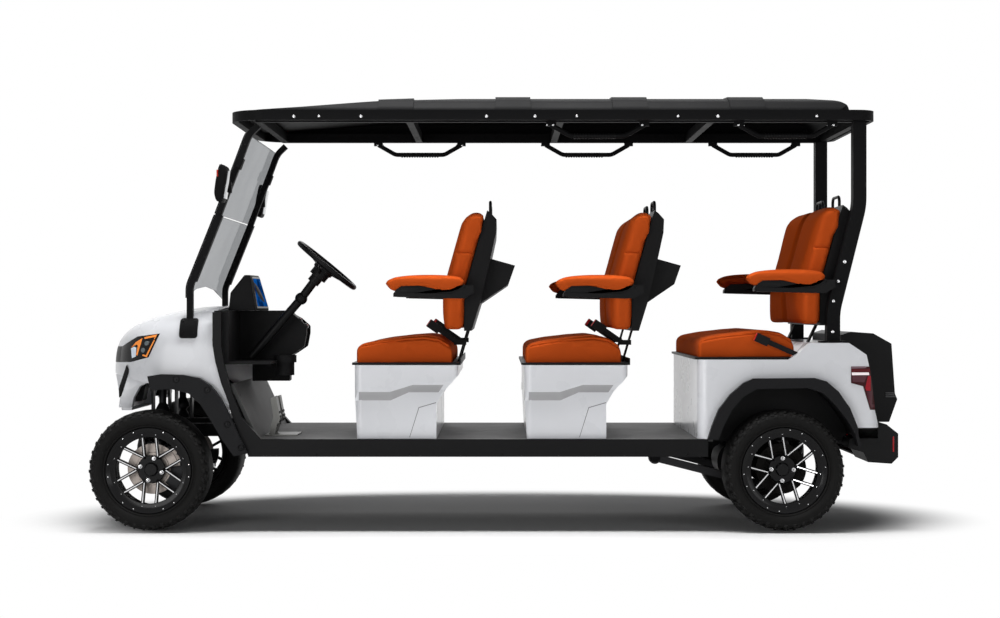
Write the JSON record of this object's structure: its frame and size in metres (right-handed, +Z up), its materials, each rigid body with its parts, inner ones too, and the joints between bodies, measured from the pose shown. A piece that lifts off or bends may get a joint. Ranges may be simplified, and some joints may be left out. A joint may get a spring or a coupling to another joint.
{
  "type": "golf cart",
  "caption": "Open-sided electric passenger cart with forward-facing benches, a full-length roof, a two-pane windshield, a lifted frame and steered front wheels.",
  "frame": {"origin": "on the ground under the middle of the cart", "axes": "+Z up, nose towards -X, driver's side -Y"},
  "size_m": [3.7095, 1.468, 1.996],
  "materials": {
    "tyre": "matte",
    "wheel_black": "gloss",
    "body_white": "gloss",
    "leather": "satin",
    "glass": "clear",
    "lamp_lens": "gloss",
    "black_metal": "satin",
    "bare_steel": "satin",
    "deck_mat": "matte",
    "webbing": "woven",
    "black_plastic": "satin"
  },
  "bodies": {
    "chassis": {"chassis_frame": "black_metal", "floor_deck": "deck_mat", "side_sills": "black_metal", "front_cowl": "body_white", "front_grille": "black_plastic", "headlamps": "lamp_lens", "fender_flares": "black_plastic", "dashboard": "black_plastic", "display_pod": "black_plastic", "steering_column": "black_metal", "pedals": "bare_steel", "front_pillars": "black_metal", "windshield": "glass", "mirrors": "black_plastic", "roof_shell": "black_plastic", "roof_frame": "black_metal", "grab_handles": "black_metal", "rear_pillars": "black_metal", "seat_base_front": "body_white", "seat_base_middle": "body_white", "seat_trims": "black_plastic", "seat_cushions": "leather", "seat_back_pads": "leather", "seat_shells": "black_plastic", "armrests": "leather", "armrest_trays": "black_plastic", "seat_brackets": "black_metal", "seat_belts": "webbing", "rear_body": "body_white", "tail_lamps": "lamp_lens", "wheel_liners": "black_plastic", "rear_box": "black_plastic", "rear_bumper": "black_plastic", "battery_pack": "black_plastic", "front_suspension": "black_metal", "rear_axle": "black_metal", "rear_springs": "black_metal"},
    "knuckle_left": {"knuckle_left": "bare_steel"},
    "knuckle_right": {"knuckle_right": "bare_steel"},
    "tie_rod": {"tie_rod": "bare_steel"},
    "steering_wheel": {"steering_wheel": "black_plastic"},
    "wheel_front_left": {"tyre_front_left": "tyre", "rim_front_left": "wheel_black"},
    "wheel_front_right": {"tyre_front_right": "tyre", "rim_front_right": "wheel_black"},
    "wheel_rear_left": {"tyre_rear_left": "tyre", "rim_rear_left": "wheel_black"},
    "wheel_rear_right": {"tyre_rear_right": "tyre", "rim_rear_right": "wheel_black"}
  },
  "joints": [
    {"name": "steer_left", "type": "hinge", "parent": "chassis", "child": "knuckle_left", "pos_m": [-1.575, -0.402, 0.28], "axis": [0, 0, 1], "range_deg": [-28, 28]},
    {"name": "steer_right", "type": "hinge", "parent": "chassis", "child": "knuckle_right", "pos_m": [-1.575, 0.402, 0.28], "axis": [0, 0, 1], "range_deg": [-28, 28]},
    {"name": "tie_rod_slide", "type": "slide", "parent": "chassis", "child": "tie_rod", "axis": [0, 1, 0], "range_m": [-0.0615, 0.0615]},
    {"name": "steering_wheel_turn", "type": "hinge", "parent": "chassis", "child": "steering_wheel", "pos_m": [-0.8, -0.3, 1.214], "axis": [0.6361, 0, 0.7716], "range_deg": [-393, 393]},
    {"name": "spin_front_left", "type": "hinge", "parent": "knuckle_left", "child": "wheel_front_left", "pos_m": [-1.575, -0.5325, 0.28], "axis": [0, 1, 0], "continuous": true},
    {"name": "spin_front_right", "type": "hinge", "parent": "knuckle_right", "child": "wheel_front_right", "pos_m": [-1.575, 0.5325, 0.28], "axis": [0, 1, 0], "continuous": true},
    {"name": "spin_rear_left", "type": "hinge", "parent": "chassis", "child": "wheel_rear_left", "pos_m": [1.295, -0.5325, 0.28], "axis": [0, 1, 0], "continuous": true},
    {"name": "spin_rear_right", "type": "hinge", "parent": "chassis", "child": "wheel_rear_right", "pos_m": [1.295, 0.5325, 0.28], "axis": [0, 1, 0], "continuous": true}
  ],
  "couplings": [
    {"joint": "steer_right", "follows": "steer_left", "ratio": 1},
    {"joint": "tie_rod_slide", "follows": "steer_left", "m_per_rad": 0.1255},
    {"joint": "steering_wheel_turn", "follows": "steer_left", "ratio": 14}
  ]
}
